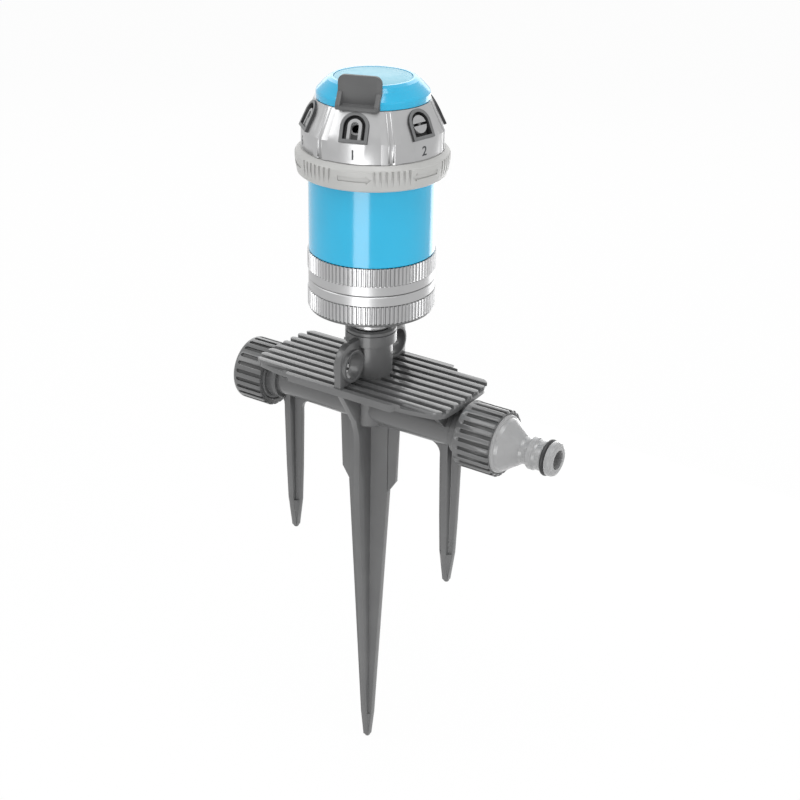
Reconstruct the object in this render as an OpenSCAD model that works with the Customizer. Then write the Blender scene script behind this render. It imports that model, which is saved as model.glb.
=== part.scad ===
// Six pattern sector sprinkler: a gear driven head on a pipe with a foot plate and ground spikes.
// Origin: on the head's axis, level with the ground that the pipe lies on. +X points to the hose.

/* [Pipe and riser] */
// Height of the pipe's axis above the ground
pipe_z = 10; // [9.6:0.1:12]
// Outer radius of the pipe under the riser
pipe_r_mid = 9.5; // [9.1:0.1:10]
// Outer radius of the pipe at its ends
pipe_r_end = 8.9; // [8.4:0.1:9.1]
// Radius of the water way through pipe and riser
pipe_bore_r = 6.5; // [5.5:0.1:7]
// Distance from the riser to the shoulder at each pipe end
pipe_half = 52.5; // [51:0.5:58]
// Radius of the shoulder at each pipe end
shoulder_r = 11.2; // [10:0.1:12]
// Length of the shoulder at each pipe end
shoulder_len = 5.5; // [4:0.5:8]
// Outer radius of the pipe threads
thread_r = 13.15; // [12.6:0.05:13.4]
// Length of the pipe threads
thread_len = 11; // [9:0.5:12]
// Distance from one thread turn to the next
thread_pitch = 1.8; // [1.4:0.1:2.2]
// Outer radius of the riser
riser_r = 10.8; // [10.2:0.1:11.4]
// Height of the riser's mouth above the pipe axis
riser_h = 42.8; // [40:0.2:45]
// Outer radius of the riser's mouth
mouth_r = 12.7; // [12.5:0.1:13.5]
// Height of the wider mouth
mouth_h = 7.8; // [5:0.1:9]

/* [Foot plate and ears] */
// Height of the plate's top above the pipe axis
plate_top = 18.2; // [16.5:0.1:20]
// Thickness of the plate under its ribs
plate_t = 2.2; // [1.8:0.1:3]
// Height of the ribs
rib_h = 1.8; // [1:0.1:2.2]
// Half width of the plate at the middle
plate_half_w = 28.2; // [27:0.2:31]
// Half length of the plate
plate_half_l = 56; // [53:0.5:58]
// Half length of the plate's wide middle
wide_half_l = 31; // [24:0.5:38]
// Distance from one rib to the next
rib_pitch = 6.1; // [5.6:0.1:6.8]
// Width of each rib
rib_w = 3.4; // [3:0.1:4.2]
// Thickness of the webs under the plate
web_t = 2.4; // [1.6:0.1:3]
// Thickness of each ear's plate
ear_t = 3.6; // [3:0.1:5]
// Thickness of each ear's ring
ear_ring_t = 6.8; // [5:0.1:8]
// Radius of each ear's hole
ear_hole_r = 6.8; // [5:0.1:7]
// Height of each ear's hole above the plate
ear_hole_h = 9.3; // [8.8:0.1:10.5]

/* [Spikes] */
// Depth of the middle spike's tip below the pipe axis
spike_depth = 207; // [180:1:230]
// Depth of the outer spikes' tips below the pipe axis
outer_spike_depth = 88; // [76:1:100]
// Distance from the riser to each outer spike
outer_spike_x = 48.1; // [45:0.1:49]
// Thickness of the spikes' fins
fin_t = 3.3; // [2.6:0.1:4]

/* [Cap, nut and hose connector] */
// Outer radius of the end cap and the union nut
nut_r = 16.5; // [16.2:0.1:18]
// Length of the end cap
cap_len = 18; // [17.5:0.5:20]
// Length of the union nut
nut_len = 20; // [19.5:0.5:22]
// Number of grip grooves round the cap and the nut
nut_grooves = 24; // [18:1:26]
// Depth of the grip grooves
groove_depth = 0.8; // [0.5:0.1:1]
// Radius of the connector's tip
tip_r = 8.4; // [8:0.1:8.7]
// Radius of the connector's water way
tip_bore_r = 4.8; // [4:0.1:5.2]
// Thickness of the flat washers
washer_t = 2; // [1.5:0.1:2.4]

/* [Stop rings and body] */
// Height of the head's underside above the pipe axis
head_h = 52.8; // [49:0.2:56]
// Radius of the blue body
body_r = 30.2; // [29.8:0.1:31.2]
// Height of the blue body
body_h = 38.1; // [36:0.1:42]
// Height of the dark bottom cover
cover_h = 2; // [1.6:0.1:2.6]
// Height of each stop ring
ring_h = 13.8; // [13:0.1:15]
// Height of each ring's knurled band
knurl_h = 8.6; // [7:0.1:9.5]
// Number of knurl teeth
knurl_teeth = 90; // [60:1:96]
// Radius of the neck that the stop rings turn on
neck_r = 26.4; // [26:0.1:26.8]
// Turn of each stop ring from its widest setting, in degrees
ring_travel = 150; // [90:5:150]

/* [Turret, grip ring and cap] */
// Direction of the working nozzle, in degrees from +X
nozzle_az = -71; // [-90:1:-50]
// Greatest radius of the grip ring
grip_r = 36.3; // [35.8:0.1:37.5]
// Height of the grip ring
grip_h = 12.2; // [11:0.1:13]
// Radius of the turret
turret_r = 33.3; // [33:0.1:33.8]
// Height of the turret's straight band
band_h = 9.3; // [8.5:0.1:10.5]
// Height of the turret's cone
cone_h = 13.4; // [13:0.1:14.2]
// Radius of the cone's top
cone_top_r = 26.8; // [26.4:0.1:27.2]
// Height of the cap above the turret
cap_h = 9.7; // [9.2:0.1:11]
// Radius of the flat disc in the cap
disc_r = 18.3; // [17:0.1:18.6]
// Width of each nozzle frame
frame_w = 13.2; // [12:0.1:13.6]
// Height of each nozzle frame
frame_h = 13.9; // [13:0.1:14.2]
// Wall of each nozzle frame
frame_wall = 1.5; // [1.2:0.1:2]
// Half width of the selector tab
tab_half_w = 10.1; // [9:0.1:10.6]
// Height of the tab above the cap
tab_over = 5; // [3.5:0.1:6.5]

/* [Gear train] */
// Gear module
gear_m = 0.6; // [0.56:0.01:0.6]
// Teeth of each wheel
wheel_teeth = 30; // [28:1:30]
// Teeth of each pinion
pinion_teeth = 12; // [12:1:13]
// Height of each step of the gear train
gear_step = 3.6; // [3.2:0.1:3.8]
// Direction of the second gear pin, in degrees
train_az = 30; // [0:5:90]

/* [Clearances] */
// Radial clearance of running fits
fit = 0.05; // [0.02:0.01:0.09]
// Gap between faces that turn past each other
gap = 0.2; // [0.15:0.01:0.3]
// Gap between rubber parts and what moves past them
soft_gap = 0.3; // [0.25:0.01:0.4]

/* [Hidden] */
$fn = 96;

// Colours
dark = [0.40, 0.41, 0.42];
silver = [0.76, 0.77, 0.79];
pale = [0.80, 0.80, 0.79];
blue = [0.11, 0.72, 0.90];
rubber = [0.10, 0.10, 0.11];
steel = [0.66, 0.67, 0.70];
white = [0.90, 0.90, 0.88];
brass = [0.78, 0.62, 0.34];

// Levels of the base
mouth_z = pipe_z + riser_h;
plate_z = pipe_z + plate_top;
slab_z = plate_z - rib_h;
plate_low_z = slab_z - plate_t;
thread_x = pipe_half + shoulder_len;
pipe_end_x = thread_x + thread_len;
thread_depth = 0.95;
nut_bore_r = thread_r + fit;
boss_low_z = pipe_z - pipe_r_mid + 0.3;
stem_thread_r = 10;
socket_r = stem_thread_r + fit;
socket_z = mouth_z - mouth_h;
stem_bore_r = 7;

// Levels of the head, from its underside to the top of the cap
cover_z = pipe_z + head_h;
low_ring_z = cover_z + cover_h;
up_ring_z = low_ring_z + ring_h;
body_z = up_ring_z + ring_h;
body_top_z = body_z + body_h;
band_z = body_top_z + grip_h;
break_z = band_z + band_h;
cone_top_z = break_z + cone_h;
cap_top_z = cone_top_z + cap_h;
tab_top_z = cap_top_z + tab_over;

// Radii inside the head
body_wall = 2;
neck_wall = 1.8;
neck_in_r = neck_r - neck_wall;
body_in_r = body_r - body_wall;
tube_r = 12;
tube_in_r = 9;
skirt_r = 20.8;
skirt_wall = 1.6;
tab_in_r = 21.7;
case_r = neck_in_r - soft_gap;
case_wall = 1.4;
case_in_r = case_r - case_wall;

// Levels inside the head
tube_top_z = body_z - 1.4;
swirl_z = tube_top_z + gap;
swirl_h = 2.8;
shelf_h = 2.2;
case_z = body_z + 1.6;
turbine_z = swirl_z + swirl_h + 0.6;
turbine_h = 5;
floor_z = turbine_z + turbine_h + 0.6;
floor_h = 1.6;
train_z = floor_z + floor_h + 0.5;
lid_z = train_z + 4 * gear_step + 0.6;
lid_h = 2.4;
core_z = lid_z + lid_h + 1.6;
core_plate_h = 3.2;
core_seat_r = body_r - 1.2;
core_r = 28.4;
carrier_low_z = max(body_top_z, core_z + core_plate_h) + gap;
pin_r = 1;
shaft_r = 3.9;
bush_r = 5.4;

// Trip lever and stop tabs: directions measured on the head, the lever's own on the base
stop_az = 165;
tab_deg = 8;
lever_deg = 6;
lever_turn = 12;
lever_az = nozzle_az - lever_turn / 2;
low_tab_z = low_ring_z + ring_h / 2 - 1.5;
up_tab_z = up_ring_z + ring_h / 2 - 1.5;
tab_h = 3;
finger_z = low_ring_z + 3.2;
finger_top_z = up_tab_z + tab_h + 1;

// Gear train
pressure = 25;
backlash = 0.12;
wheel_r = gear_m * wheel_teeth / 2;
pinion_r = gear_m * pinion_teeth / 2;
centre_d = wheel_r + pinion_r;
gear_t = gear_step - 0.8;

// Turret cone
slope_r = turret_r - cone_top_r;
tilt = atan(slope_r / cone_h);
window_r = (turret_r + cone_top_r) / 2;
window_z = (break_z + cone_top_z) / 2;
shell_t = 1.6;
frame_proud = 0.6;
frame_floor = 2.5;
plug_h = 1.7;
carrier_in_r = core_r + fit;
carrier_out_r = turret_r - shell_t;

function polar(r, a) = [r * cos(a), r * sin(a)];
function arc(c, r, a0, a1, n) = [for (i = [0:n]) c + polar(r, a0 + (a1 - a0) * i / n)];
function window_az(k) = nozzle_az + 60 * (k - 1);
function involute(a) = tan(a) * 180 / PI - a;

// A profile of [radius, height] points turned round the Z axis
module turned(points) {
    rotate_extrude() polygon(points);
}

// Points and children given along Z are laid along +X
module along_x() {
    rotate([0, 90, 0]) children();
}

// A closed tube from z0 to z1
module tube(r_out, r_in, z0, z1) {
    translate([0, 0, z0]) difference() {
        cylinder(r = r_out, h = z1 - z0);
        translate([0, 0, -1]) cylinder(r = r_in, h = z1 - z0 + 2);
    }
}

// A block of a ring: radii r0 to r1, heights z0 to z1, deg wide about direction az
module ring_sector(r0, r1, z0, z1, az, deg) {
    rotate([0, 0, az - deg / 2]) rotate_extrude(angle = deg)
        translate([r0, z0]) square([r1 - r0, z1 - z0]);
}

// The outside of the pipe, used to seat what is moulded on to it
module pipe_solid() {
    for (s = [-1, 1])
        translate([0, 0, pipe_z]) rotate([0, 90 * s, 0])
            cylinder(r1 = pipe_r_mid, r2 = pipe_r_end, h = pipe_half);
}

// The pipe with its shoulders, cut from what is moulded on to it
module pipe_room() {
    pipe_solid();
    for (s = [-1, 1])
        translate([s * pipe_half, 0, pipe_z]) rotate([0, 90 * s, 0]) cylinder(r = shoulder_r, h = shoulder_len);
}

// The outside of the riser and of the boss under it
module riser_solid() {
    chamfer = 1.2;
    rotate_extrude() polygon([[0, boss_low_z], [riser_r - chamfer, boss_low_z],
        [riser_r, boss_low_z + chamfer], [riser_r, mouth_z - mouth_h - 0.9],
        [mouth_r, mouth_z - mouth_h], [mouth_r, mouth_z - 2.4], [mouth_r - 0.5, mouth_z - 2.2],
        [mouth_r - 0.5, mouth_z - 1.9], [mouth_r, mouth_z - 1.7], [mouth_r, mouth_z - 0.5],
        [mouth_r - 0.5, mouth_z], [0, mouth_z]]);
}

// One threaded pipe end, laid along +Z from the shoulder outwards
module pipe_end() {
    turns = floor(thread_len / thread_pitch) - 1;
    root = thread_r - thread_depth;
    groove = [for (i = [0:turns - 1]) each [
        [thread_r, 1 + i * thread_pitch], [root, 1 + (i + 0.3) * thread_pitch],
        [root, 1 + (i + 0.6) * thread_pitch], [thread_r, 1 + (i + 0.9) * thread_pitch]]];
    rotate_extrude() polygon(concat(
        [[0, -shoulder_len], [shoulder_r - 0.6, -shoulder_len], [shoulder_r, -shoulder_len + 0.6],
         [shoulder_r, -0.9], [shoulder_r - 0.5, -0.6], [shoulder_r - 0.5, 0], [root, 0], [thread_r, 0.8]],
        groove, [[thread_r, thread_len - 0.8], [root, thread_len], [0, thread_len]]));
}

module base_pipe() {
    color(dark) difference() {
        union() {
            pipe_solid();
            riser_solid();
            for (s = [-1, 1])
                translate([s * thread_x, 0, pipe_z]) rotate([0, 90 * s, 0]) pipe_end();
        }
        translate([0, 0, pipe_z]) along_x()
            cylinder(r = pipe_bore_r, h = 2 * pipe_end_x + 2, center = true);
        translate([0, 0, pipe_z]) cylinder(r = pipe_bore_r, h = riser_h + 1);
        translate([0, 0, socket_z]) cylinder(r = socket_r, h = mouth_z - socket_z + 1);
    }
}

// One quarter of the plate's outline, from its side to its end
plate_quarter = concat([[0, plate_half_w], [wide_half_l - 0.8, plate_half_w],
    [wide_half_l, plate_half_w - 0.8], [wide_half_l + 0.6, plate_half_w - 2.8],
    [wide_half_l + 8, plate_half_w - 3.3], [plate_half_l - 9.5, plate_half_w - 4.7]],
    arc([plate_half_l - 8, plate_half_w - 13], 8, 68, 0, 5), [[plate_half_l + 0.7, 0]]);

module plate_outline() {
    for (sx = [-1, 1], sy = [-1, 1])
        scale([sx, sy]) polygon(concat([[0, 0]], plate_quarter));
}

module foot_plate() {
    ribs = floor((plate_half_w - 1.6) / rib_pitch);
    color(dark) difference() {
        union() {
            translate([0, 0, plate_low_z]) linear_extrude(plate_t) plate_outline();
            translate([0, 0, slab_z]) linear_extrude(rib_h) intersection() {
                scale([1 + 0.8 / plate_half_l, 1 + 0.6 / plate_half_w]) plate_outline();
                for (i = [-ribs:ribs + 1]) {
                    y = (i - 0.5) * rib_pitch;
                    reach = plate_half_l - 1 - 7 * pow(abs(y) / plate_half_w, 6);
                    translate([-reach, y - rib_w / 2]) square([2 * reach, rib_w]);
                    for (s = [-1, 1])
                        translate([s * reach, y]) circle(r = rib_w / 2, $fn = 24);
                }
            }
            for (s = [-1, 1]) {
                rotate([0, 0, 90 - 90 * s]) translate([riser_r - 2, -web_t / 2, pipe_z])
                    cube([pipe_half - riser_r + 2, web_t, plate_low_z - pipe_z]);
                translate([s * outer_spike_x - web_t / 2, 0, 0]) rotate([90, 0, 90])
                    linear_extrude(web_t) polygon([[-19, plate_low_z], [-7.4, pipe_z + 3],
                        [7.4, pipe_z + 3], [19, plate_low_z]]);
            }
        }
        pipe_room();
        riser_solid();
    }
}

// Outline of one ear seen along X: x is the distance from the riser's axis, y the height over the plate
ear_mid = riser_r + 8.2;
ear_top_r = 9.2;
ear_arch_h = 11.8;

module ear_outline(inset) {
    translate([riser_r - 4, 0]) square([ear_mid - riser_r + 4 + ear_top_r - inset, ear_arch_h]);
    translate([ear_mid, ear_arch_h]) circle(r = ear_top_r - inset);
    translate([riser_r - 4, ear_arch_h]) square([ear_mid - riser_r + 4, ear_top_r - inset]);
}

module ear() {
    ring_wall = 1.4;
    color(dark) difference() {
        translate([0, 0, plate_z]) rotate([90, 0, 90]) {
            linear_extrude(ear_t, center = true) ear_outline(0);
            linear_extrude(ear_ring_t, center = true) translate([ear_mid - 0.4, ear_hole_h])
                circle(r = ear_hole_r + ring_wall);
        }
        translate([0, ear_mid - 0.4, plate_z + ear_hole_h]) along_x()
            cylinder(r = ear_hole_r, h = ear_ring_t + 2, center = true);
        riser_solid();
    }
}

module front_ear() {
    mirror([0, 1, 0]) ear();
}

module back_ear() {
    ear();
}

module centre_spike() {
    tip_len = 17;
    tip_d = spike_depth - tip_len;
    neck_r1 = 3.4;
    tip_r1 = 1.6;
    fin_half = 11.8;
    fin_d = 47;
    side = [[fin_half, -fin_d], [neck_r1, -tip_d], [tip_r1, tip_r1 - spike_depth], [0, tip_r1 - spike_depth]];
    main_fin = concat([[0, -4], [fin_half, -4]], side);
    edge = plate_half_w - 1.9;
    tall_fin = concat([[0, plate_low_z - pipe_z], [edge, plate_low_z - pipe_z], [edge - 1, 12],
        [14.6, -5], [fin_half + 0.4, -13], [fin_half, -19]], side);
    wing = [[0, -4], [17.5, -4], [17.5, -10], [16.5, -40], [fin_half, -fin_d], [0, -fin_d]];
    color(dark) translate([0, 0, pipe_z]) difference() {
        union() {
            for (s = [0, 180]) rotate([0, 0, s]) {
                rotate([90, 0, 0]) linear_extrude(fin_t, center = true) polygon(main_fin);
                rotate([90, 0, 0]) linear_extrude(fin_t - 1.4, center = true) polygon(wing);
                rotate([90, 0, 90]) linear_extrude(fin_t, center = true) polygon(tall_fin);
            }
            turned(concat([[0, -tip_d], [neck_r1, -tip_d]], arc([0, tip_r1 - spike_depth], tip_r1, -6, -90, 6)));
        }
        translate([0, 0, -pipe_z]) pipe_solid();
        translate([0, 0, -pipe_z]) riser_solid();
    }
}

// An outer spike, whose fillets run into the pipe
module outer_spike(x) {
    tip_len = 18;
    tip_d = outer_spike_depth - tip_len;
    root = 5.4;
    neck_r1 = 3.9;
    tip_r1 = 1.6;
    fillet_r = 6;
    side = [[root, -20], [root - 0.7, -50], [neck_r1, -tip_d], [tip_r1, tip_r1 - outer_spike_depth],
        [0, tip_r1 - outer_spike_depth]];
    fillet = arc([root + fillet_r, -9.5 - fillet_r], fillet_r, 90, 180, 6);
    long_fin = concat([[0, -4], [root + fillet_r, -4]], fillet, side);
    cross_fin = concat([[0, -4], [root, -4]], side);
    color(dark) translate([0, 0, pipe_z]) difference() {
        translate([x, 0, 0]) {
            for (s = [0, 180]) rotate([0, 0, s]) {
                rotate([90, 0, 0]) linear_extrude(fin_t - 0.5, center = true) polygon(long_fin);
                rotate([90, 0, 90]) linear_extrude(fin_t - 0.5, center = true) polygon(cross_fin);
            }
            turned(concat([[0, -tip_d], [neck_r1, -tip_d]],
                arc([0, tip_r1 - outer_spike_depth], tip_r1, -6, -90, 6)));
        }
        translate([0, 0, -pipe_z]) pipe_room();
        translate([x > 0 ? thread_x : -thread_x - 20, -20, -40]) cube([20, 40, 40]);
    }
}

module left_spike() {
    outer_spike(-outer_spike_x);
}

module right_spike() {
    outer_spike(outer_spike_x);
}

module riser_washer() {
    color(rubber) tube(stem_thread_r - 0.3, stem_bore_r, socket_z, socket_z + washer_t);
}

// The stem screws into the riser and carries the whole head
module inlet_stem() {
    low = socket_z + washer_t;
    lip_z = mouth_z + 1.2;
    turns = floor((lip_z - low - 1) / thread_pitch);
    root = stem_thread_r - 0.8;
    groove = [for (i = [0:turns - 1]) each [
        [stem_thread_r, low + 1 + i * thread_pitch], [root, low + 1 + (i + 0.3) * thread_pitch],
        [root, low + 1 + (i + 0.6) * thread_pitch], [stem_thread_r, low + 1 + (i + 0.9) * thread_pitch]]];
    color(silver) difference() {
        turned(concat([[0, low], [root, low], [stem_thread_r, low + 0.8]], groove,
            [[stem_thread_r, lip_z], [stem_thread_r + 0.9, lip_z + 0.5], [stem_thread_r + 0.9, cover_z - 2.4],
             [tube_r + 1, cover_z - 0.6], [tube_r + 1, cover_z], [tube_r, cover_z], [tube_r, tube_top_z],
             [0, tube_top_z]]));
        translate([0, 0, low - 1]) cylinder(r = stem_bore_r, h = cover_z - low + 2);
        difference() {
            translate([0, 0, cover_z + 1]) cylinder(r = tube_in_r, h = tube_top_z - cover_z);
            translate([0, 0, tube_top_z - 4]) {
                difference() {
                    cylinder(r = 2.6, h = 5);
                    translate([0, 0, -1]) cylinder(r = pin_r, h = 7);
                }
                for (a = [0:120:240]) rotate([0, 0, a]) translate([2, -0.8, 0]) cube([9, 1.6, 3]);
            }
        }
    }
}

module inlet_strainer() {
    low = cover_z + 1;
    top = tube_top_z - 5;
    color(white) difference() {
        turned([[0, top - 1.2], [5.2, top - 1.2], [6.4, low], [tube_in_r, low], [tube_in_r, low + 1.4],
            [7.6, low + 1.4], [6.4, top], [0, top]]);
        for (a = [0:45:315], z = [low + 4:4:top - 4]) rotate([0, 0, a])
            translate([4, -1, z]) cube([5, 2, 2.4]);
    }
}

module bottom_cover() {
    edge = body_r + 0.2;
    color(dark) turned([[tube_r, cover_z], [edge - 1.6, cover_z], [edge - 0.4, cover_z + 0.6],
        [edge, cover_z + 1.2], [edge, cover_z + cover_h - gap], [tube_r, cover_z + cover_h - gap]]);
}

// The fixed case: a skirt round the lever's hub, the turbine room, a floor and the gear room
module gear_case() {
    low = cover_z + cover_h - gap;
    skirt_in = skirt_r - skirt_wall;
    port_r = 1.3;
    color(dark) difference() {
        union() {
            tube(skirt_r, skirt_in, low, case_z);
            tube(case_r, skirt_in, case_z - 1, case_z + 1.2);
            tube(case_r, case_in_r, case_z, lid_z);
            tube(case_r, 2.7, floor_z, floor_z + floor_h);
        }
        ring_sector(skirt_in - 1, skirt_r + 1, low - 1, finger_z + 2.8, nozzle_az, lever_turn + 24);
        for (a = [0:30:330]) rotate([0, 0, a]) translate([case_in_r - 1, 0, turbine_z + turbine_h - 1.2])
            along_x() cylinder(r = port_r, h = case_wall + 2, $fn = 32);
        rotate([0, 0, train_az]) translate([centre_d, 0, floor_z + 0.8]) cylinder(r = pin_r, h = 2);
    }
}

module gear_case_lid() {
    color(dark) difference() {
        union() {
            tube(case_r, bush_r, lid_z, lid_z + lid_h);
            tube(case_in_r, case_in_r - 1.2, lid_z - 1, lid_z);
        }
        rotate([0, 0, train_az]) translate([centre_d, 0, lid_z - 1]) cylinder(r = pin_r, h = 1 + lid_h / 2);
    }
}

module gear_pins() {
    color(steel) {
        translate([0, 0, tube_top_z - 4]) cylinder(r = pin_r, h = lid_z - tube_top_z + 4);
        rotate([0, 0, train_az]) translate([centre_d, 0, floor_z + 0.8])
            cylinder(r = pin_r, h = lid_z + lid_h / 2 - floor_z - 0.8);
    }
}

module shaft_bush() {
    color(brass) {
        tube(bush_r, shaft_r + fit, lid_z, lid_z + lid_h);
        tube(bush_r + 1.2, shaft_r + fit, lid_z + lid_h, lid_z + lid_h + 0.8);
    }
}

// The lever's finger stands between the stop tabs; its sleeve turns the swirl plate
module trip_lever() {
    hub_r = tube_r + 1.5;
    hub_in = tube_r + fit;
    arm_t = 2.4;
    out_r = neck_in_r - 0.8;
    color(white) {
        turned([[hub_in, low_ring_z + gap], [hub_r, low_ring_z + gap], [hub_r, finger_z - 1],
            [hub_r + 1.6, finger_z - 0.6], [hub_r + 1.6, finger_z + arm_t + 0.4], [hub_r, finger_z + arm_t + 0.8],
            [hub_r, tube_top_z - 0.6], [hub_in, tube_top_z - 0.6]]);
        rotate([0, 0, lever_az - lever_deg / 2]) rotate_extrude(angle = lever_deg)
            polygon([[hub_r - 0.7, finger_z], [out_r, finger_z], [out_r, finger_top_z],
                [tab_in_r - 0.6, finger_top_z], [tab_in_r - 0.6, finger_z + arm_t], [hub_r - 0.7, finger_z + arm_t]]);
    }
}

module swirl_plate() {
    slots = 8;
    color(white) difference() {
        union() {
            tube(skirt_r - skirt_wall - 0.4, pin_r + fit, swirl_z, swirl_z + swirl_h);
            tube(tube_r + 1.5, tube_r + fit, tube_top_z - 0.6, swirl_z);
        }
        for (i = [0:slots - 1]) rotate([0, 0, i * 360 / slots])
            translate([5.8, 0, swirl_z + swirl_h / 2]) rotate([40, 0, 0])
                cube([5, 1.5, 3 * swirl_h], center = true);
    }
}

module turbine_wheel() {
    blades = 10;
    hub = 4.6;
    rim = 16;
    color(white) {
        tube(hub, 2.2, turbine_z, turbine_z + turbine_h);
        tube(rim, rim - 1, turbine_z, turbine_z + turbine_h);
        for (i = [0:blades - 1]) rotate([0, 0, i * 360 / blades]) intersection() {
            translate([(hub + rim) / 2, 0, turbine_z + turbine_h / 2]) rotate([-35, 0, 0])
                cube([rim - hub + 1, 0.9, 2 * turbine_h], center = true);
            tube(rim - 0.5, hub - 0.5, turbine_z, turbine_z + turbine_h);
        }
    }
}

// Half the angle that a tooth takes up at radius rho
function tooth_half(teeth, r, rho) = 90 / teeth - backlash / (4 * r) * 180 / PI + involute(pressure)
    - involute(acos(min(1, r * cos(pressure) / rho)));

// A spur gear whose tooth centre lies in direction az
module spur_gear(teeth, h, bore, az) {
    r = gear_m * teeth / 2;
    base_r = r * cos(pressure);
    tip = r + 0.88 * gear_m;
    root = r - 1.2 * gear_m;
    start = max(base_r, root + 0.02);
    radii = [for (i = [0:3]) start + (tip - start) * i / 3];
    left = [for (rho = radii) [rho, -tooth_half(teeth, r, rho)]];
    tooth = concat([[root, left[0][1] - 1.5]], left, [for (i = [3:-1:0]) [left[i][0], -left[i][1]]],
        [[root, -left[0][1] + 1.5]]);
    difference() {
        linear_extrude(h) polygon([for (i = [0:teeth - 1], p = tooth) polar(p[0], az + i * 360 / teeth + p[1])]);
        translate([0, 0, -1]) cylinder(r = bore, h = h + 2, $fn = 48);
    }
}

// A wheel with a pinion on top: both mesh towards direction mate_az
module compound_gear(step, mate_az) {
    z = train_z + step * gear_step;
    translate([0, 0, z]) {
        spur_gear(wheel_teeth, gear_t, pin_r + fit, mate_az + 180 / wheel_teeth);
        translate([0, 0, gear_t]) spur_gear(pinion_teeth, gear_step, pin_r + fit, mate_az);
    }
}

module turbine_pinion() {
    color(white) {
        tube(2.2, pin_r + fit, turbine_z, train_z);
        translate([0, 0, train_z]) spur_gear(pinion_teeth, gear_t, pin_r + fit, train_az);
    }
}

module first_gear() {
    color(pale) rotate([0, 0, train_az]) translate([centre_d, 0, 0]) compound_gear(0, 180);
}

module second_gear() {
    color(white) compound_gear(1, train_az);
}

module third_gear() {
    color(pale) rotate([0, 0, train_az]) translate([centre_d, 0, 0]) compound_gear(2, 180);
}

// The last wheel and its shaft turn the head
module output_shaft() {
    z = train_z + 3 * gear_step;
    color(white) {
        translate([0, 0, z]) spur_gear(wheel_teeth, gear_t, pin_r + fit, train_az + 180 / wheel_teeth);
        translate([0, 0, z + gear_t]) difference() {
            cylinder(r = shaft_r, h = core_z + core_plate_h - z - gear_t);
            translate([0, 0, -1]) cylinder(r = pin_r + fit, h = lid_z - z - gear_t + 2);
        }
    }
}

// The blue body and the neck below it, with a slot for each stop tab
module body_shell() {
    low = low_ring_z + 0.4;
    foot = body_z + gap;
    color(blue) difference() {
        turned([[neck_in_r, low], [neck_r, low], [neck_r, foot], [body_r - 0.3, foot], [body_r, foot + 0.3],
            [body_r, body_top_z - 0.4], [body_r - 0.4, body_top_z], [core_seat_r, body_top_z],
            [core_seat_r, core_z], [body_in_r, core_z], [body_in_r, foot + shelf_h], [neck_in_r, foot + shelf_h]]);
        tube(neck_r + 1, clip_r, clip_z, clip_z + clip_t);
        ring_sector(neck_in_r - 1, neck_r + 1, low_tab_z - gap, low_tab_z + tab_h + gap,
            nozzle_az - stop_az + ring_travel / 2, ring_travel + tab_deg + 2);
        ring_sector(neck_in_r - 1, neck_r + 1, up_tab_z - gap, up_tab_z + tab_h + gap,
            nozzle_az + stop_az - ring_travel / 2, ring_travel + tab_deg + 2);
    }
}

module body_seal() {
    z = body_z + gap + shelf_h;
    color(rubber) turned([[case_r + fit, z], [body_in_r, z], [body_in_r, z + 2.2], [body_in_r - 1.2, z + 2.2],
        [case_r + 1, z + 1], [case_r + fit, z + 2.2]]);
}

// A split ring in the neck's groove keeps the stop rings on
clip_z = low_ring_z + 1;
clip_t = 1;
clip_r = neck_r - 0.7;

module ring_clip() {
    color(steel) ring_sector(clip_r, neck_r + 0.9, clip_z, clip_z + clip_t, nozzle_az + 180, 346);
}

function knurl(teeth, r_out, r_in) = [for (i = [0:teeth - 1], p = [[0, r_in], [0.22, r_in], [0.42, r_out],
    [0.8, r_out]]) polar(p[1], (i + p[0]) * 360 / teeth)];

// A stop ring: z0 is its foot, knurl_z the knurled band's foot
module stop_ring(z0, z1, knurl_z, tab_z, tab_az, recess) {
    bore = neck_r + fit;
    smooth_z0 = knurl_z > z0 + 1 ? z0 : knurl_z + knurl_h;
    smooth_z1 = knurl_z > z0 + 1 ? knurl_z : z1;
    difference() {
        union() {
            translate([0, 0, max(z0, knurl_z)]) linear_extrude(min(z1, knurl_z + knurl_h) - max(z0, knurl_z))
                polygon(knurl(knurl_teeth, body_r + 0.6, body_r - 0.1));
            turned([[bore - 1, smooth_z0], [body_r - 0.2, smooth_z0], [body_r + 0.2, smooth_z0 + 0.4],
                [body_r + 0.2, smooth_z1 - 0.4], [body_r - 0.2, smooth_z1], [bore - 1, smooth_z1]]);
        }
        translate([0, 0, z0 - 1]) cylinder(r = bore, h = z1 - z0 + 2);
        translate([0, 0, z0 - 1]) cylinder(r = neck_r + 1.1, h = 1 + recess);
    }
    ring_sector(tab_in_r, bore + 0.5, tab_z, tab_z + tab_h, tab_az, tab_deg);
}

module lower_stop_ring() {
    color(silver) stop_ring(low_ring_z, up_ring_z - gap / 2, low_ring_z, low_tab_z, nozzle_az - stop_az, 2.2);
}

module upper_stop_ring() {
    color(silver) stop_ring(up_ring_z + gap / 2, body_z, body_z - knurl_h, up_tab_z, nozzle_az + stop_az, 0);
}

// Places children on the cone at window k: x sideways, y up the slope, z outwards
module at_window(k) {
    rotate([0, 0, window_az(k)]) translate([window_r, 0, window_z]) rotate([0, 90 - tilt, 0])
        rotate([0, 0, 90]) children();
}

// A pointed-free arch: straight below and round above, centred on its own height
module arch(w, h) {
    translate([-w / 2, -h / 2]) square([w, h - w / 2]);
    translate([0, h / 2 - w / 2]) circle(r = w / 2, $fn = 64);
}

// Outside of the core that the nozzle ring turns on
module core_form() {
    turned([[0, core_z], [core_seat_r, core_z], [core_seat_r, core_z + core_plate_h],
        [core_r, core_z + core_plate_h], [core_r, break_z], [core_top_r, core_top_z], [0, core_top_z]]);
}

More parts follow.
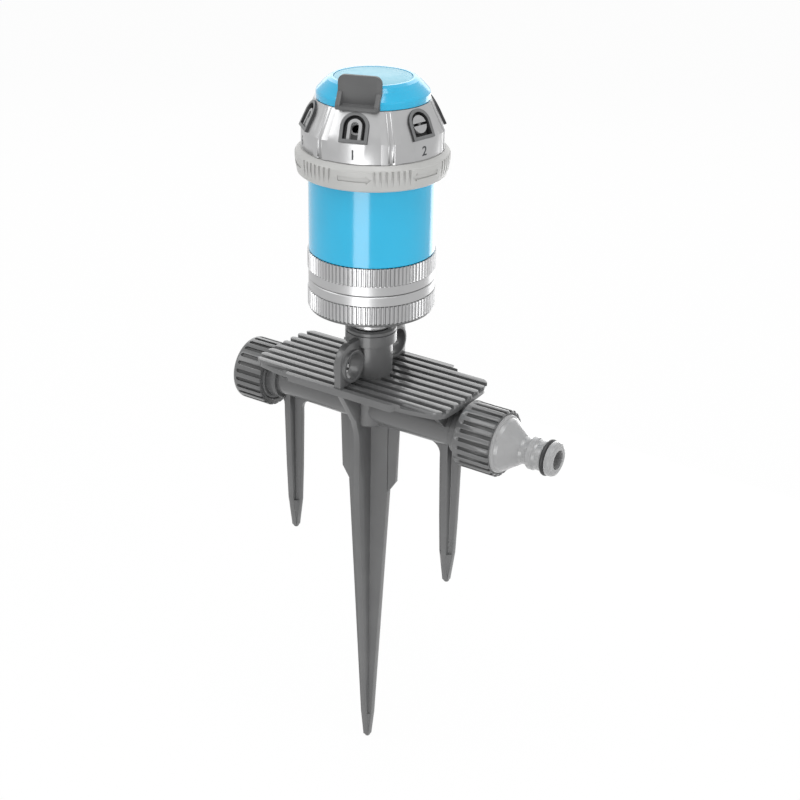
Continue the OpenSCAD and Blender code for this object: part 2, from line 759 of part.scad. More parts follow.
module rotor_core() {
    wall = 2.4;
    color(dark) difference() {
        union() {
            difference() {
                core_form();
                turned([[0, core_z + core_plate_h], [core_r - wall, core_z + core_plate_h],
                    [core_r - wall, break_z - 1], [core_top_r - wall, core_top_z - wall], [0, core_top_z - wall]]);
            }
            translate([0, 0, core_z]) cylinder(r = 5.4, h = cone_top_z + gap - core_z);
            intersection() {
                core_form();
                union() {
                    at_window(1) translate([0, 0, -core_depth - port_len - 1.6])
                        cylinder(r = port_r + 1.6, h = port_len + 3);
                    rotate([0, 0, nozzle_az + 180]) translate([detent_r - 7, 0, detent_z]) along_x()
                        cylinder(r = 3, h = 6, $fn = 48);
                }
            }
        }
        translate([0, 0, core_z - 1]) cylinder(r = shaft_r, h = core_plate_h + 1);
        for (a = [30:60:330]) rotate([0, 0, a]) translate([17, 0, core_z - 1])
            cylinder(r = 3.2, h = core_plate_h + 2, $fn = 48);
        translate([0, 0, core_top_z - 9]) cylinder(r = screw_r, h = 11, $fn = 48);
        at_window(1) translate([0, 0, -core_depth - port_len]) cylinder(r = port_r, h = port_len + 1);
        at_window(1) translate([0, 0, -core_depth - port_len - 3]) cylinder(r = 3, h = 5);
        rotate([0, 0, nozzle_az + 180]) translate([detent_r - 5.2, 0, detent_z]) along_x()
            cylinder(r = ball_r + fit, h = 8, $fn = 48);
        rotate([0, 0, nozzle_az]) translate([key_r, -key_half_w, core_top_z - key_h])
            cube([9, 2 * key_half_w, key_h + 1]);
    }
}

// A ball sprung into the nozzle ring clicks at each nozzle
ball_r = 1.5;
detent_r = core_r - 0.9;
detent_z = body_top_z + 7;

// The core's top, and the depth of its surface under the shell's along a window's axis
core_top_z = cone_top_z - 0.4;
core_top_r = cone_top_r - (turret_r - core_r);
core_depth = (turret_r - core_r) * cos(tilt);
port_r = 4.4;
port_len = 8;
seal_h = 3.6;
seal_top = core_depth + soft_gap + 0.4;
screw_r = 1.6;

module outlet_seal() {
    color(rubber) at_window(1) translate([0, 0, -seal_top - seal_h]) difference() {
        cylinder(r = port_r, h = seal_h);
        translate([0, 0, -1]) cylinder(r = port_r - 1.5, h = seal_h + 2);
    }
}

// A round wire wound in a helix along +Z
module coil(r, wire_r, turns, len) {
    per_turn = 12;
    sides = 6;
    n = turns * per_turn;
    points = [for (i = [0:n], j = [0:sides - 1])
        let (a = i * 360 / per_turn, b = j * 360 / sides, rr = r + wire_r * cos(b))
        [rr * cos(a), rr * sin(a), wire_r + (len - 2 * wire_r) * i / n + wire_r * sin(b)]];
    walls = [for (i = [0:n - 1], j = [0:sides - 1])
        let (k = (j + 1) % sides)
        [i * sides + j, (i + 1) * sides + j, (i + 1) * sides + k, i * sides + k]];
    ends = [[for (j = [0:sides - 1]) j], [for (j = [sides - 1:-1:0]) n * sides + j]];
    polyhedron(points, concat(walls, ends), convexity = 8);
}

module outlet_spring() {
    len = core_depth + port_len - seal_top - seal_h;
    color(steel) at_window(1) translate([0, 0, -core_depth - port_len]) coil(port_r - 0.7, 0.45, 3, len);
}

module detent_ball() {
    color(steel) rotate([0, 0, nozzle_az + 180]) translate([detent_r, 0, detent_z]) sphere(r = ball_r, $fn = 32);
}

module detent_spring() {
    color(steel) rotate([0, 0, nozzle_az + 180]) translate([detent_r - 5.2, 0, detent_z]) along_x()
        coil(1.1, 0.25, 4, 5.2 - ball_r);
}

tab_back_r = 20.6;
tab_plate = 2;
tab_front_r = 28.2;
tab_floor_z = cone_top_z + gap;
tab_floor_h = 1.5;
key_r = tab_back_r - 2;
key_half_w = 4;
key_h = 1.5;

// The room that the tab takes out of the cap
module tab_room() {
    rotate([0, 0, nozzle_az]) translate([tab_back_r, -tab_half_w, cone_top_z - 1])
        cube([12, 2 * tab_half_w, tab_over + cap_h + 2]);
}

module cap() {
    r = cone_top_r - 0.4;
    low = cone_top_z + gap;
    in_r = r - 1.8;
    shoulder = [[r, low], [r, cap_top_z - 6.8], [r - 0.3, cap_top_z - 5.9], [r - 1.2, cap_top_z - 4.9],
        [r - 3.4, cap_top_z - 2.6], [r - 5.3, cap_top_z - 0.9], [disc_r + 1, cap_top_z], [disc_r, cap_top_z]];
    color(blue) difference() {
        turned(concat([[0, low]], shoulder, [[0, cap_top_z]]));
        translate([0, 0, cap_top_z - 1.3]) cylinder(r = disc_r, h = 3);
        difference() {
            turned([[0, low - 1], [in_r, low - 1], [in_r, low + 2], [disc_r, cap_top_z - 3.4], [0, cap_top_z - 3.4]]);
            translate([0, 0, low - 2]) cylinder(r = 4.4, h = cap_h + 2);
        }
        translate([0, 0, low - 1]) cylinder(r = screw_r + fit, h = cap_h + 2, $fn = 48);
        translate([0, 0, cap_top_z - 2.7]) cylinder(r = 3.3, h = 3, $fn = 48);
        tab_room();
    }
}

module cap_disc() {
    color(blue) translate([0, 0, cap_top_z - 1.3]) cylinder(r1 = disc_r, r2 = disc_r - 0.15, h = 1.2);
}

module cap_screw() {
    low = cone_top_z - 7;
    head_z = cap_top_z - 2.7;
    color(steel) difference() {
        turned([[0, low], [screw_r - 0.4, low], [screw_r, low + 1], [screw_r, head_z], [3.1, head_z], [3.1, head_z + 0.9],
            [2.7, head_z + 1.3], [0, head_z + 1.3]]);
        for (a = [0, 90]) rotate([0, 0, a]) translate([-1.7, -0.35, head_z + 0.5]) cube([3.4, 0.7, 2]);
    }
}

// The tab stands over the working nozzle: a tall back plate, two cheeks and a floor
module selector_tab() {
    w = tab_half_w;
    plate_h = tab_top_z - tab_floor_z;
    corner = 3.2;
    cheek = 2.2;
    color(dark) rotate([0, 0, nozzle_az]) {
        translate([tab_back_r, 0, tab_floor_z]) rotate([90, 0, 90]) linear_extrude(tab_plate) difference() {
            translate([-w, 0]) square([2 * w, plate_h]);
            for (s = [-1, 1]) translate([s * (w - corner), plate_h - corner]) difference() {
                translate([s > 0 ? 0 : -corner - 1, 0]) square(corner + 1);
                circle(r = corner, $fn = 48);
            }
        }
        translate([tab_back_r, -w, tab_floor_z]) cube([tab_front_r - tab_back_r - 1, 2 * w, tab_floor_h]);
        translate([tab_front_r - 1, 0, tab_floor_z]) linear_extrude(tab_floor_h)
            polygon([[0, -w], [0.6, -w + 0.4], [1, -w + 1.2], [1, w - 1.2], [0.6, w - 0.4], [0, w]]);
        for (s = [-1, 1]) translate([tab_back_r + 1, s * (w - cheek / 2), tab_floor_z]) rotate([90, 0, 0])
            linear_extrude(cheek, center = true) polygon([[0, 0], [tab_front_r - tab_back_r - 2, 0],
                [tab_front_r - tab_back_r - 2, tab_floor_h + 0.3], [1.6, 7], [0, 7.4]]);
        translate([key_r, -key_half_w, core_top_z - key_h])
            cube([2.6, 2 * key_half_w, tab_floor_z + tab_floor_h - core_top_z + key_h]);
    }
}

module turret_shell() {
    bead = 0.35;
    in_top = cone_top_r - shell_t / cos(tilt);
    color(silver) difference() {
        union() {
            turned([[carrier_out_r, band_z], [turret_r - 0.3, band_z], [turret_r, band_z + 0.3],
                [turret_r, break_z], [cone_top_r, cone_top_z], [in_top, cone_top_z], [carrier_out_r, break_z + 0.4]]);
            for (k = [1:6], s = [-1, 1])
                rotate([0, 0, window_az(k) + 30 + s * 1.9 - 0.6]) rotate_extrude(angle = 1.2)
                    polygon([[turret_r - 0.5, band_z + 0.6], [turret_r + bead, band_z + 0.9],
                        [turret_r + bead, break_z], [cone_top_r + bead, cone_top_z - 0.5],
                        [cone_top_r - 0.5, cone_top_z - 0.3], [turret_r - 0.5, break_z]]);
        }
        for (k = [1:6]) at_window(k) translate([0, 0, -4]) linear_extrude(6) arch(frame_w, frame_h);
    }
}

// The dark ring behind the shell: its six frames stand out through the shell's windows
module nozzle_carrier() {
    in_top = cone_top_r - (turret_r - carrier_in_r);
    out_top = cone_top_r - shell_t / cos(tilt) - 0.4;
    low = carrier_low_z;
    color(dark) difference() {
        union() {
            turned([[carrier_in_r, low], [carrier_out_r, low], [carrier_out_r, break_z + 0.4],
                [out_top, core_top_z], [in_top, core_top_z], [carrier_in_r, break_z]]);
            for (k = [1:6]) at_window(k) translate([0, 0, -2.6]) linear_extrude(2.6 + frame_proud)
                arch(frame_w, frame_h);
        }
        for (k = [1:6]) at_window(k) {
            translate([0, 0, -frame_floor]) linear_extrude(5) arch(frame_w - 2 * frame_wall, frame_h - 2 * frame_wall);
            translate([0, 0, -7]) cylinder(r = plug_r, h = 7, $fn = 48);
        }
        rotate_extrude() translate([detent_r, detent_z]) circle(r = ball_r + fit, $fn = 32);
        for (k = [1:6]) rotate([0, 0, nozzle_az + k * 60]) translate([detent_r, 0, detent_z])
            sphere(r = ball_r + 0.4, $fn = 32);
        translate([0, 0, core_top_z]) cylinder(r = cone_top_r, h = 4);
    }
}

plug_r = 2.9;

// A nozzle: a plug in the carrier's round hole, and the face that its children draw
module nozzle(k, bore) {
    color(silver) at_window(k) {
        translate([0, 0, -frame_floor - plug_h]) difference() {
            cylinder(r = plug_r, h = plug_h, $fn = 48);
            translate([0, 0, -1]) cylinder(r = bore, h = plug_h + 2, $fn = 48);
        }
        translate([0, 0, -frame_floor]) children();
    }
}

// An arch that stands on the window's sill, open below
module horseshoe(w, h, wall, rise) {
    translate([0, -frame_h / 2 + frame_wall + h / 2, 0]) linear_extrude(rise) difference() {
        arch(w, h);
        translate([0, -wall]) arch(w - 2 * wall, h);
    }
}

module nozzle_1() {
    nozzle(1, 2) horseshoe(6.6, 9.4, 1.4, 2.6);
}

module nozzle_2() {
    nozzle(2, 1.6) linear_extrude(2.4) difference() {
        circle(r = 4.1, $fn = 64);
        translate([-5, -0.6]) square([10, 1.2]);
    }
}

module nozzle_3() {
    nozzle(3, 2.2) linear_extrude(2.4) difference() {
        circle(r = 4.1, $fn = 64);
        circle(r = 0.45, $fn = 24);
        for (a = [0:45:315]) translate(polar(2.6, a)) circle(r = 0.45, $fn = 24);
    }
}

module nozzle_4() {
    nozzle(4, 1.2) difference() {
        cylinder(r1 = 4.1, r2 = 2.6, h = 2.6, $fn = 64);
        translate([0, 0, -1]) cylinder(r = 1.2, h = 5, $fn = 48);
    }
}

module nozzle_5() {
    nozzle(5, 1.6) linear_extrude(2.4) difference() {
        circle(r = 4.1, $fn = 64);
        translate([-0.6, -5]) square([1.2, 10]);
    }
}

module nozzle_6() {
    nozzle(6, 1.8) {
        horseshoe(5.6, 8.6, 1.3, 2.4);
        translate([-0.5, -frame_h / 2 + frame_wall, 0]) cube([1, 4, 2.2]);
    }
}

// The pale ring that turns the turret, with seven grip grooves between the arrow panels
module grip_ring() {
    low = body_top_z + gap;
    top = band_z;
    color(pale) difference() {
        turned([[carrier_out_r, low], [grip_r - 1.7, low], [grip_r - 1, low + 0.7], [grip_r, low + 6.4],
            [grip_r, top - 2.6], [grip_r - 0.5, top - 1.7], [turret_r + 0.5, top - 0.1],
            [turret_r, top - 0.3], [turret_r - 0.3, top], [carrier_out_r, top]]);
        for (k = [1:6], i = [-3:3])
            rotate([0, 0, window_az(k) + 30 + i * 4.4 - 1]) rotate_extrude(angle = 2)
                polygon([[grip_r - 0.75, low + 2], [grip_r + 1, low + 2], [grip_r + 1, top - 2.2],
                    [grip_r - 0.45, top - 2.2]]);
    }
}

// Grip grooves cut from a nut that is laid along +Z
module grip_cuts(z0, z1, round_end) {
    w = 0.44 * 2 * PI * nut_r / nut_grooves;
    for (i = [0:nut_grooves - 1]) rotate([0, 0, i * 360 / nut_grooves])
        translate([nut_r - groove_depth, 0, 0]) {
            translate([0, -w / 2, z0]) cube([groove_depth + 1, w, z1 - z0]);
            if (round_end)
                translate([0, 0, z1]) along_x() cylinder(r = w / 2, h = groove_depth + 1, $fn = 24);
        }
}

module cap_washer() {
    color(rubber) translate([-pipe_end_x - washer_t, 0, pipe_z]) along_x()
        tube(nut_bore_r - 0.6, pipe_bore_r, 0, washer_t - 0.05);
}

module end_cap() {
    open_len = thread_len + washer_t;
    color(dark) translate([-thread_x, 0, pipe_z]) rotate([0, -90, 0]) difference() {
        turned(concat([[0, open_len], [nut_bore_r, open_len], [nut_bore_r, 0.6], [nut_bore_r + 0.5, 0],
            [nut_r - 0.5, 0], [nut_r, 0.5]],
            [[nut_r, cap_len - 2.4]], arc([nut_r - 2.2, cap_len - 2.2], 2.2, 8, 90, 5), [[0, cap_len]]));
        grip_cuts(-1, cap_len - 3.6, true);
    }
}

washer_x = pipe_end_x + 0.05;
web_x = thread_x + 14.9;
web_wall = 3;
recess_x = thread_x + nut_len - 1.9;

module union_washer() {
    color(rubber) translate([washer_x, 0, pipe_z]) along_x()
        tube(nut_bore_r - 0.6, pipe_bore_r, 0, washer_t - 0.05);
}

module union_nut() {
    hole_r = 11.4;
    color(dark) translate([thread_x, 0, pipe_z]) rotate([0, 90, 0]) difference() {
        turned([[nut_bore_r, 0.6], [nut_bore_r + 0.5, 0], [nut_r - 0.6, 0], [nut_r, 0.6], [nut_r, nut_len - 0.5],
            [nut_r - 0.5, nut_len], [14.8, nut_len], [14.8, nut_len - 1.8], [hole_r, nut_len - 1.8],
            [hole_r, 15.1], [nut_bore_r, 15.1]]);
        grip_cuts(3.2, nut_len + 1, false);
    }
}

// The connector clips into the nut from outside and turns in it
module hose_connector() {
    seat = pipe_end_x + washer_t + 0.1 - thread_x;
    lip = nut_len - 1.7;
    shank_r = 11.4 - fit;
    tip_x = nut_len + 28.8;
    ring_x = tip_x - 4.7;
    color(pale) translate([thread_x, 0, pipe_z]) rotate([0, 90, 0]) difference() {
        turned([[0, seat], [12.6, seat], [12.6, 15], [shank_r, 15], [shank_r, lip], [14.6, lip],
            [14.6, lip + 1.6], [14, lip + 2.6], [13.2, lip + 3], [12.6, lip + 4.6], [10.6, lip + 7.2], [8.4, lip + 10.6],
            [6.9, lip + 12.6], [6.5, lip + 14], [6.5, lip + 16.2], [7.6, lip + 16.6], [8, lip + 17.2], [8, lip + 19.4],
            [7.6, lip + 20], [7.3, lip + 21.2], [7.5, ring_x - 1.9], [8, ring_x - 1.5], [8, ring_x - 1.3],
            [6.6, ring_x - 1.3], [6.6, ring_x + 1.3], [tip_r, ring_x + 1.3],
            [tip_r, tip_x - 1.6], [tip_r - 0.5, tip_x - 0.5], [tip_r - 1.6, tip_x], [0, tip_x]]);
        cylinder(r = tip_bore_r, h = tip_x + 5);
        translate([0, 0, seat - 1]) cylinder(r1 = 9, r2 = tip_bore_r, h = 12);
    }
}

module connector_oring() {
    wire = 1.15;
    ring_x = thread_x + nut_len + 28.8 - 4.7;
    color(rubber) translate([ring_x, 0, pipe_z]) along_x()
        rotate_extrude() translate([6.6 + wire, 0]) circle(r = wire, $fn = 24);
}

base_pipe();
foot_plate();
front_ear();
back_ear();
centre_spike();
left_spike();
right_spike();
riser_washer();
inlet_stem();
inlet_strainer();
bottom_cover();
gear_case();
gear_case_lid();
gear_pins();
shaft_bush();
trip_lever();
swirl_plate();
turbine_wheel();
turbine_pinion();
first_gear();
second_gear();
third_gear();
output_shaft();
body_shell();
body_seal();
ring_clip();
lower_stop_ring();
upper_stop_ring();
rotor_core();
outlet_seal();
outlet_spring();
detent_ball();
detent_spring();
cap();
cap_disc();
cap_screw();
selector_tab();
turret_shell();
grip_ring();
nozzle_carrier();
nozzle_1();
nozzle_2();
nozzle_3();
nozzle_4();
nozzle_5();
nozzle_6();
cap_washer();
end_cap();
union_washer();
hose_connector();
connector_oring();
union_nut();
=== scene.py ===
"""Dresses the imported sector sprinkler: finishes, moulded edges, arrows, numbers and the stage."""

import math

import bmesh
import bpy
from bpy.props import FloatProperty, FloatVectorProperty, IntProperty, PointerProperty
from mathutils import Matrix, Vector


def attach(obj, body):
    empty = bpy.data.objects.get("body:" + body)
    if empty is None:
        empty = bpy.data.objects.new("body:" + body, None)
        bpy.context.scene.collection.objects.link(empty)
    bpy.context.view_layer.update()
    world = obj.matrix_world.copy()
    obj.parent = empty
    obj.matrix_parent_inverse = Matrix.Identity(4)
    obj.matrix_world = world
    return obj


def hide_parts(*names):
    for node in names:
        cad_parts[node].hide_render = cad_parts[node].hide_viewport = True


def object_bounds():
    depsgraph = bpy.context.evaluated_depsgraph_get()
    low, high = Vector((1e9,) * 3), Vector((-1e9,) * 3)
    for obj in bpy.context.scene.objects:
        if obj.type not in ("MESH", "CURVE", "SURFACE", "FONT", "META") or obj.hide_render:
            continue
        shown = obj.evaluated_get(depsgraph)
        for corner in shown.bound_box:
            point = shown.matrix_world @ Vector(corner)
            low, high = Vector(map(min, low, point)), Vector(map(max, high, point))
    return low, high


bl_info = {
    "name": "Sector sprinkler dressing",
    "version": (1, 0, 0),
    "blender": (4, 5, 0),
    "location": "3D View > Sidebar > Sprinkler",
    "description": "Finishes and fine detail for the packed sector sprinkler",
    "category": "Object",
}

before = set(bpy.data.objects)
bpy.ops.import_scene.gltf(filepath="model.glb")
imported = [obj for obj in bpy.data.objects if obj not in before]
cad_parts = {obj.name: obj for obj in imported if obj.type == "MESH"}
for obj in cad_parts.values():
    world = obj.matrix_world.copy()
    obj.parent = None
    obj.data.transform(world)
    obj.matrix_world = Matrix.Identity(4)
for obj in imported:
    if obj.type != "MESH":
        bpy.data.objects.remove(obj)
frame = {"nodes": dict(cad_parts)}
NODES = frame["nodes"]
CAD_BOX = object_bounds()
MM = 0.001

# The nozzles' numbers, where the working one points, and the turn from one to the next, in degrees
NOZZLES = range(1, 7)
NOZZLE_AZ = -71.0
NOZZLE_STEP = 60.0

# The grip ring: the height above which its side is upright, the radius there and the lean below it, as in the model
RING_BEND = 137.1 * MM
RING_R = 36.3 * MM
RING_LEAN = 1.0 / 5.7

# The turret: radius of its band, top radius of its cone, the heights of the band's foot, the bend and the top, and
# the height of the numbers' middle
BAND_R = 33.3 * MM
CONE_R = 26.8 * MM
BAND_LOW = 142.8 * MM
BAND_TOP = 152.0 * MM
CONE_TOP = 165.3 * MM
BAND_MID = 147.1 * MM

# Copied nodes: corners closer than WELD are one, and faces within FLAT_ANGLE degrees are merged. Cut and drawn
# meshes: corners closer than FINE_WELD are one
WELD = 2e-6
FINE_WELD = 1e-6
FLAT_ANGLE = 0.6

# Rounding of the base's edges and of finer ones, as shares of the edge setting
BROAD_EDGE = 1.35
FINE_EDGE = 0.6

# Grooves of the cap and the nut, whose faces get a painted shadow: the depths between which a face belongs to one,
# and how far it may face along X
GROOVE_FROM = 0.2 * MM
GROOVE_TO = 1.2 * MM
GROOVE_SLANT = 0.3

# Window frames: how far they stand out of the turret, and how squarely a grey face looks outwards; the nozzle ring's
# other faces get a near-black painted shadow
RIM_FROM = 0.2 * MM
RIM_FACING = 0.35

# Panels: how deep their sides reach into the turret, and the flat on top of each step
PANEL_ROOT = 0.2 * MM
PANEL_LAND = 0.3 * MM

# Numbers: type size for a digit of height 1, and how much the strokes are thickened
TYPE_SIZE = 1.42
TYPE_WEIGHT = 0.022

# Arrows: length of the head in half widths, parts that each arrow is bent in, and the tool's reach past the ring
ARROW_HEAD_SHARE = 1.1
ARROW_PARTS = 8
TOOL_OVER = 1.0 * MM

# All noise runs between these two values, near enough
NOISE_LOW, NOISE_HIGH = 0.3, 0.7

# Mouldings: scale of the shade's and of the gloss's change, the latter's share each way, index and coat's roughness
PLASTIC_SHADE_SCALE, PLASTIC_GLOSS_SCALE, PLASTIC_GLOSS_SPREAD = 60.0, 250.0, 0.12
PLASTIC_IOR, PLASTIC_COAT_ROUGHNESS = 1.5, 0.06

# Metal coats: the same scales and share, and the scale, depth and detail of the grain
METAL_SHADE_SCALE, METAL_GLOSS_SCALE, METAL_GLOSS_SPREAD = 90.0, 400.0, 0.08
METAL_GRAIN_SCALE, METAL_GRAIN_DEPTH, METAL_GRAIN_DETAIL = 1400.0, 0.000003, 2.0

# The photograph's camera: place in metres, angles in degrees, lens and sensor in millimetres
CAMERA_PLACE = (0.38982, -0.56520, 0.34006)
CAMERA_TURN, CAMERA_TIP, CAMERA_ROLL = 33.356, 25.569, 1.053
CAMERA_LENS, CAMERA_SENSOR = 68.263, 36.0

# Floor: radius, drop below the spike's tip, paint, and the share of plain white where it is seen or mirrored
FLOOR_R = 9.0
FLOOR_DROP = 0.2 * MM
FLOOR_PAINT = 0.86
FLOOR_WHITE = 0.96

# The room's light on the object, and where the camera or a mirror sees it
ROOM_DIM, ROOM_SEEN = 0.45, 1.0

# Lamps: name, place, height aimed at, width, length, power in watts, and whether gloss shows it
LAMPS = (
    ("strip_lamp", (0.150, -0.520, -0.060), 0.05, 0.26, 0.26, 0.9, True),
    ("rear_strip_lamp", (0.0, 0.45, -0.060), 0.10, 0.30, 0.30, 0.6, True),
    ("back_lamp", (-0.62, 0.98, 0.62), 0.08, 1.3, 1.0, 4.8, True),
    ("left_lamp", (-0.75, -0.65, 0.75), 0.05, 0.6, 0.6, 3.2, True),
    ("top_lamp", (0.10, -0.25, 1.30), 0.05, 0.8, 0.8, 7.5, True),
    ("right_lamp", (0.90, -0.05, 0.40), 0.08, 0.6, 0.6, 3.2, False),
)


def colour(label, red, green, blue):
    """A linear colour that the user can change."""
    return FloatVectorProperty(name=label, description=label + " of the moulding", subtype="COLOR",
                               size=3, min=0.0, max=1.0, default=(red, green, blue))


def length(label, what, value):
    """A length in metres."""
    return FloatProperty(name=label, description=what, default=value, unit="LENGTH", precision=5)


class SprinklerFinishes(bpy.types.PropertyGroup):
    """Colours of the mouldings."""

    base: colour("Base grey", 0.104, 0.105, 0.106)
    trim: colour("Dark trim", 0.060, 0.063, 0.066)
    body: colour("Body blue", 0.006, 0.390, 0.640)
    # The disc's blue is paler than the body's, partly its own colour and partly a painted sheen of the light from
    # above
    disc: colour("Disc blue", 0.170, 0.440, 0.550)
    silver: colour("Silver", 0.440, 0.441, 0.444)
    ring: colour("Ring grey", 0.430, 0.430, 0.420)
    nozzle: colour("Nozzle grey", 0.330, 0.332, 0.335)
    frame: colour("Frame grey", 0.135, 0.137, 0.139)
    tip: colour("Connector grey", 0.310, 0.311, 0.313)
    inner: colour("Inner white", 0.760, 0.760, 0.720)
    ink: colour("Printed numbers", 0.030, 0.032, 0.035)


class SprinklerMarks(bpy.types.PropertyGroup):
    """Sizes of the marks on the turret."""

    number_height: length("Number height", "Height of the numbers under the nozzles", 0.0044)
    number_proud: length("Number relief", "How far the print stands out", 0.00006)
    arrow_length: length("Arrow length", "Length of each arrow in the grip ring", 0.0155)
    arrow_width: length("Arrow width", "Width of each arrow's shaft", 0.0024)
    arrow_head: length("Arrow head", "Width of each arrow's head", 0.0040)
    arrow_depth: length("Arrow depth", "How deep the arrows are sunk", 0.00050)
    arrow_mid: length("Arrow height", "Height of the arrows above the ground", 0.1367)
    arrow_ahead: length("Arrow lead", "How far each arrow stands ahead of its nozzle", 0.0013)
    step_height: length("Panel step", "How far the turret's panels stand up at their sides", 0.00045)
    step_width: length("Panel step width", "Width of the slope at a panel's side", 0.0009)
    step_mid: length("Panel gap", "Half the gap between two panels", 0.00075)
    step_fade: length("Panel fade", "Width over which a panel falls back to the turret", 0.0030)
    edge: length("Edge round", "Radius of the moulded edges", 0.00028)
    edge_steps: IntProperty(name="Edge steps", description="Faces round each moulded edge", default=2, min=1, max=4)


# Materials


def node(tree, kind, **values):
    """A shader node with its sockets set by name."""
    made = tree.nodes.new(kind)
    for name, value in values.items():
        made.inputs[name.replace("_", " ")].default_value = value
    return made


def shader(name):
    """A new material with its principled shader."""
    made = bpy.data.materials.new(name)
    made.use_nodes = True
    return made, made.node_tree, made.node_tree.nodes["Principled BSDF"]


def grain(tree, scale, depth, detail=3.0):
    """A fine moulded grain, as a normal."""
    place = tree.nodes.new("ShaderNodeTexCoord")
    noise = node(tree, "ShaderNodeTexNoise", Scale=scale, Detail=detail, Roughness=0.55)
    bump = node(tree, "ShaderNodeBump", Strength=0.35, Distance=depth)
    tree.links.new(place.outputs["Object"], noise.inputs["Vector"])
    tree.links.new(noise.outputs["Fac"], bump.inputs["Height"])
    return place, bump


def tinted(tree, place, scale, base, spread):
    """A slow change of shade over the moulding."""
    noise = node(tree, "ShaderNodeTexNoise", Scale=scale, Detail=2.0, Roughness=0.5)
    ramp = tree.nodes.new("ShaderNodeValToRGB")
    ramp.color_ramp.elements[0].position = NOISE_LOW
    ramp.color_ramp.elements[1].position = NOISE_HIGH
    ramp.color_ramp.elements[0].color = tuple(c * (1.0 - spread) for c in base) + (1.0,)
    ramp.color_ramp.elements[1].color = tuple(min(1.0, c * (1.0 + spread)) for c in base) + (1.0,)
    tree.links.new(place.outputs["Object"], noise.inputs["Vector"])
    tree.links.new(noise.outputs["Fac"], ramp.inputs["Fac"])
    return ramp.outputs["Color"]


def uneven(tree, place, scale, rough, spread):
    """A roughness that wanders by a share each way."""
    noise = node(tree, "ShaderNodeTexNoise", Scale=scale, Detail=4.0, Roughness=0.6)
    span = node(tree, "ShaderNodeMapRange", From_Min=NOISE_LOW, From_Max=NOISE_HIGH,
                To_Min=rough * (1.0 - spread), To_Max=rough * (1.0 + spread))
    tree.links.new(place.outputs["Object"], noise.inputs["Vector"])
    tree.links.new(noise.outputs["Fac"], span.inputs["Value"])
    return span.outputs["Result"]


def moulded(name, base, rough, grain_scale, grain_depth, spread=0.05, coat=0.0):
    """Moulded plastic: grain, a slow change of shade and an uneven gloss."""
    made, tree, bsdf = shader(name)
    place, bump = grain(tree, grain_scale, grain_depth)
    tree.links.new(tinted(tree, place, PLASTIC_SHADE_SCALE, base, spread), bsdf.inputs["Base Color"])
    gloss = uneven(tree, place, PLASTIC_GLOSS_SCALE, rough, PLASTIC_GLOSS_SPREAD)
    tree.links.new(gloss, bsdf.inputs["Roughness"])
    tree.links.new(bump.outputs["Normal"], bsdf.inputs["Normal"])
    bsdf.inputs["IOR"].default_value = PLASTIC_IOR
    bsdf.inputs["Coat Weight"].default_value = coat
    bsdf.inputs["Coat Roughness"].default_value = PLASTIC_COAT_ROUGHNESS
    return made


def coated(name, base, rough, spread=0.03):
    """Bare metal, or plastic with a metal coat."""
    made, tree, bsdf = shader(name)
    place, bump = grain(tree, METAL_GRAIN_SCALE, METAL_GRAIN_DEPTH, METAL_GRAIN_DETAIL)
    tree.links.new(tinted(tree, place, METAL_SHADE_SCALE, base, spread), bsdf.inputs["Base Color"])
    gloss = uneven(tree, place, METAL_GLOSS_SCALE, rough, METAL_GLOSS_SPREAD)
    tree.links.new(gloss, bsdf.inputs["Roughness"])
    tree.links.new(bump.outputs["Normal"], bsdf.inputs["Normal"])
    bsdf.inputs["Metallic"].default_value = 1.0
    return made


def shade(rgb, factor):
    """A colour made lighter or darker."""
    return tuple(v * factor for v in rgb)


def soft_plastic(name, base, rough, grain_scale, grain_depth, spread, coat, glow, reach):
    """Moulded plastic that lets light in below its surface, as deep as reach."""
    made = moulded(name, base, rough, grain_scale, grain_depth, spread, coat)
    bsdf = made.node_tree.nodes["Principled BSDF"]
    bsdf.inputs["Subsurface Weight"].default_value = glow
    bsdf.inputs["Subsurface Radius"].default_value = (1.0, 1.0, 1.0)
    bsdf.inputs["Subsurface Scale"].default_value = reach
    return made


